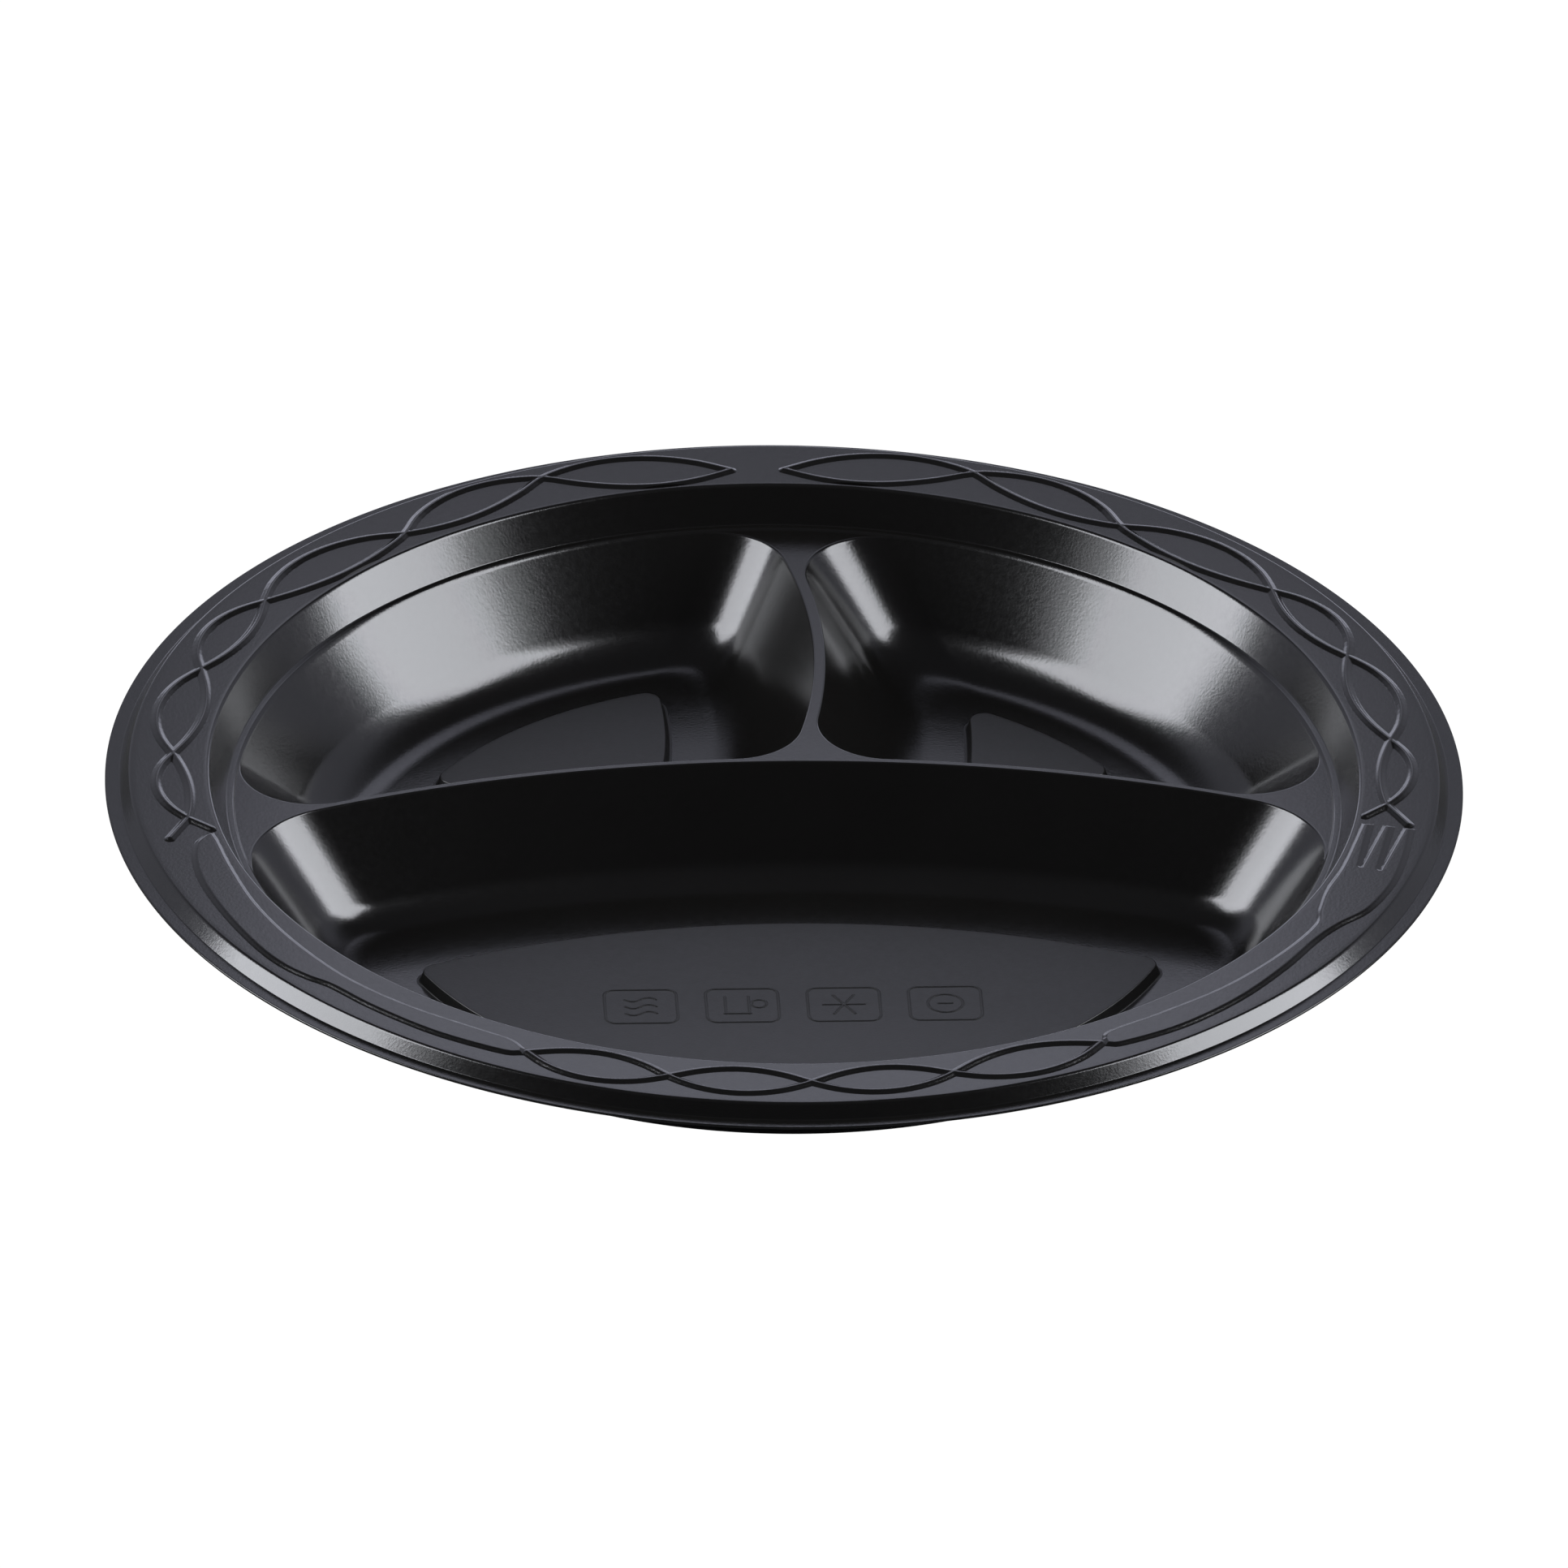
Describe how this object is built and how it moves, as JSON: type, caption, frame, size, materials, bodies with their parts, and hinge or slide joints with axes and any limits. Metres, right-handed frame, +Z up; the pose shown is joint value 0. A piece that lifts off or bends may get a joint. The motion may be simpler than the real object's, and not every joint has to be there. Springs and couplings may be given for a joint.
{
  "type": "compartment plate",
  "caption": "Round black compartment plate formed from one thin sheet, with raised floor panels and a wide rim with braid, fork and knife reliefs.",
  "frame": {"origin": "under the middle of the plate, on the level of the floor rings' underside", "axes": "+Z up out of the compartments, +Y towards the two small compartments, -Y towards the large one, +X to the fork side"},
  "size_m": [0.26, 0.26, 0.0282],
  "materials": {
    "black_plastic": "satin, with a faint draw grain on the walls"
  },
  "bodies": {
    "root": {"trim_lip": "black_plastic", "outer_bevel": "black_plastic", "rim_band": "black_plastic", "upper_wall": "black_plastic", "stacking_ledge": "black_plastic", "divider_deck": "black_plastic", "braid_front": "black_plastic", "braid_right": "black_plastic", "braid_left": "black_plastic", "knife_relief": "black_plastic", "fork_relief": "black_plastic", "large_pan_wall": "black_plastic", "large_floor_ring": "black_plastic", "large_floor_panel": "black_plastic", "left_pan_wall": "black_plastic", "left_floor_ring": "black_plastic", "left_floor_panel": "black_plastic", "right_pan_wall": "black_plastic", "right_floor_ring": "black_plastic", "right_floor_panel": "black_plastic", "care_mark_heat": "black_plastic", "care_mark_cup": "black_plastic", "care_mark_frost": "black_plastic", "care_mark_loop": "black_plastic"}
  },
  "joints": []
}
